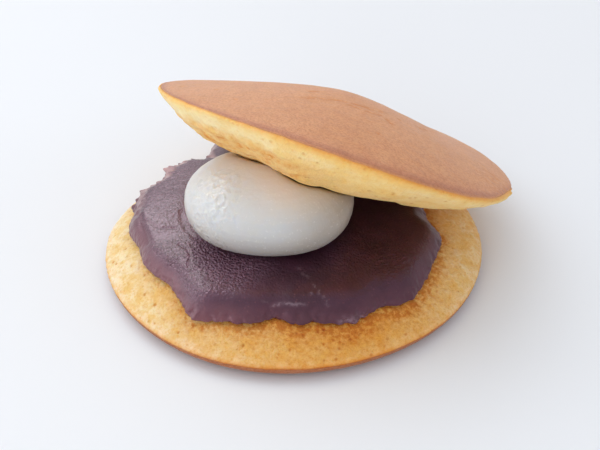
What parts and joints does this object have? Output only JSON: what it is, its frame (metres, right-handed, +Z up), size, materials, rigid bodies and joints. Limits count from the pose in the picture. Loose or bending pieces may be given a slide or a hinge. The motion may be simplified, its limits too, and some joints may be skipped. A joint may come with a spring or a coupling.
{
  "type": "mochi dorayaki",
  "caption": "Filled griddle pancake sandwich lying open: round sponge base, layer of smooth red bean paste, white rice cake, and a domed browned pancake leaning on top.",
  "frame": {"origin": "centre of the flat browned face that the bottom pancake rests on, on the table", "axes": "+Z up; -Y towards the open front where the paste and the rice cake show; +X to the right seen from that front; the top pancake leans down to the back right"},
  "size_m": [0.097, 0.0959, 0.0511],
  "materials": {
    "bottom_pancake": "golden open sponge crumb above, smooth brown griddled skin below",
    "bean_paste": "moist, softly shining, fine-grained dark red bean paste",
    "mochi": "moist translucent milky rice cake",
    "top_pancake": "smooth tan brown griddled skin above, golden sponge crumb below"
  },
  "bodies": {
    "root": {"bottom_pancake": "bottom_pancake", "bean_paste": "bean_paste", "mochi": "mochi", "top_pancake": "top_pancake"}
  },
  "joints": []
}
